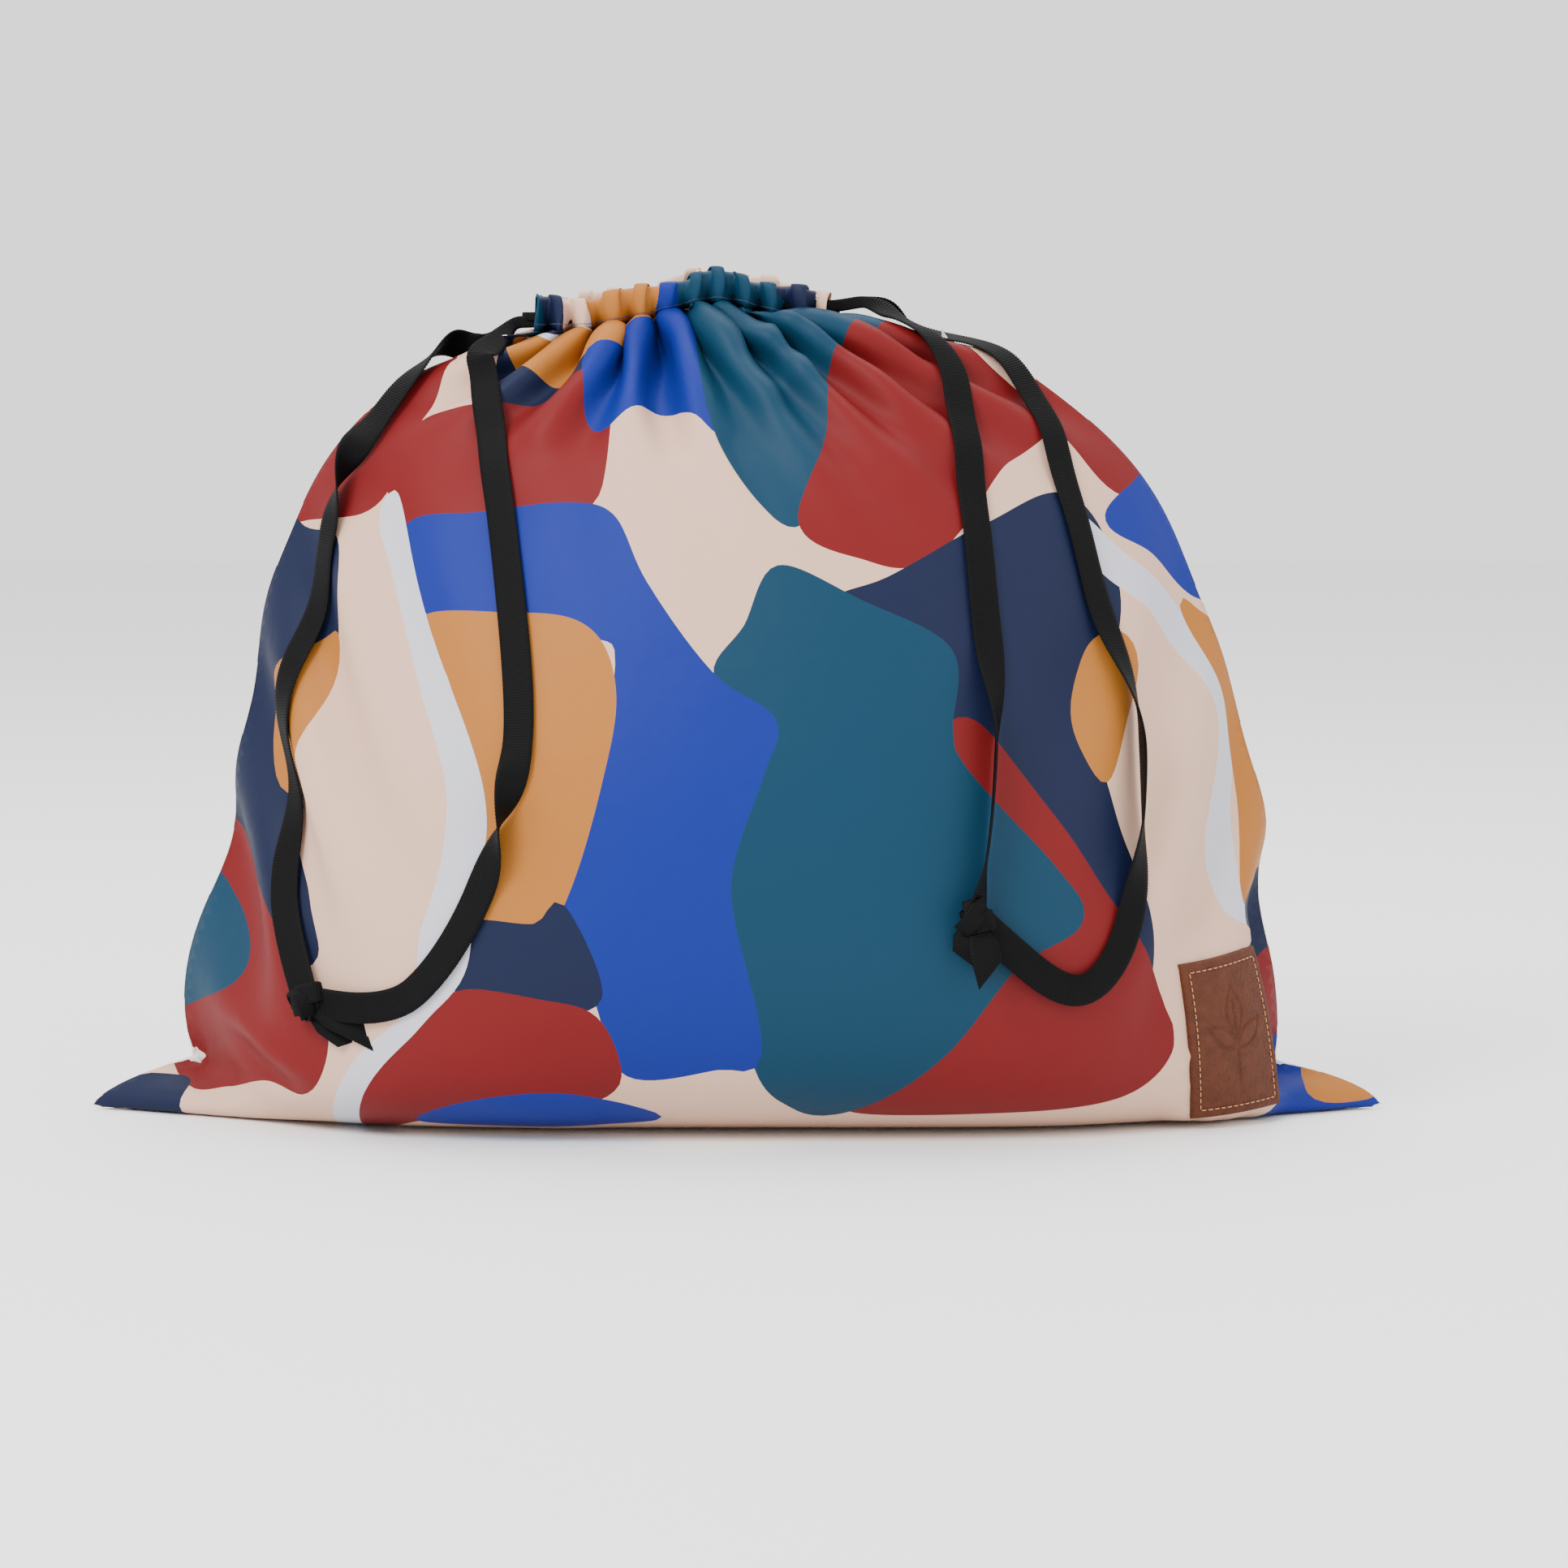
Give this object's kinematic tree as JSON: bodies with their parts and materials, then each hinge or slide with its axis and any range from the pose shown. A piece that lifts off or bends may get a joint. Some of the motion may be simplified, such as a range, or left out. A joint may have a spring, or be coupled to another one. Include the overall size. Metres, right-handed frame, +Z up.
{
  "type": "sack race bag",
  "caption": "Large gathered drawstring sack of two printed cloth panels with a ribbon casing, knotted ribbon loops at both sides and a sewn leather patch.",
  "frame": {"origin": "floor level, midway between the two bottom corner tips", "axes": "+X along the bottom seam to the side with the patch, +Y towards the back panel, +Z up to the mouth"},
  "size_m": [0.65, 0.2968, 0.41],
  "materials": {
    "printed_cloth": "satin peach-skin woven cloth with a printed pattern of rounded patches",
    "ribbon": "ribbed grosgrain",
    "leather_patch": "pebbled, turned edge",
    "tan_thread": "twisted thread",
    "navy_thread": "twisted thread",
    "white_thread": "dense stitches"
  },
  "bodies": {
    "sack": {"front_panel": "printed_cloth", "back_panel": "printed_cloth", "left_side_seam": "printed_cloth", "right_side_seam": "printed_cloth", "bottom_seam": "printed_cloth", "front_casing": "printed_cloth", "back_casing": "printed_cloth", "front_casing_stitching": "navy_thread", "back_casing_stitching": "navy_thread", "left_vent_bartack": "white_thread", "right_vent_bartack": "white_thread", "leather_patch": "leather_patch", "patch_stitching": "tan_thread"},
    "left_drawstring": {"left_drawstring_run": "ribbon"},
    "left_loop": {"left_outer_strand": "ribbon", "left_inner_strand": "ribbon", "left_knot": "ribbon"},
    "right_drawstring": {"right_drawstring_run": "ribbon"},
    "right_loop": {"right_outer_strand": "ribbon", "right_inner_strand": "ribbon", "right_knot": "ribbon"}
  },
  "joints": [
    {"name": "left_pull", "type": "slide", "parent": "sack", "child": "left_drawstring", "axis": [-1, 0, 0], "range_m": [0, 0.028]},
    {"name": "left_swing", "type": "hinge", "parent": "left_drawstring", "child": "left_loop", "pos_m": [-0.114, 0, 0.396], "axis": [-1, 0, 0], "range_deg": [0, 150]},
    {"name": "right_pull", "type": "slide", "parent": "sack", "child": "right_drawstring", "axis": [1, 0, 0], "range_m": [0, 0.028]},
    {"name": "right_swing", "type": "hinge", "parent": "right_drawstring", "child": "right_loop", "pos_m": [0.06, 0, 0.402], "axis": [-1, 0, 0], "range_deg": [0, 150]}
  ]
}
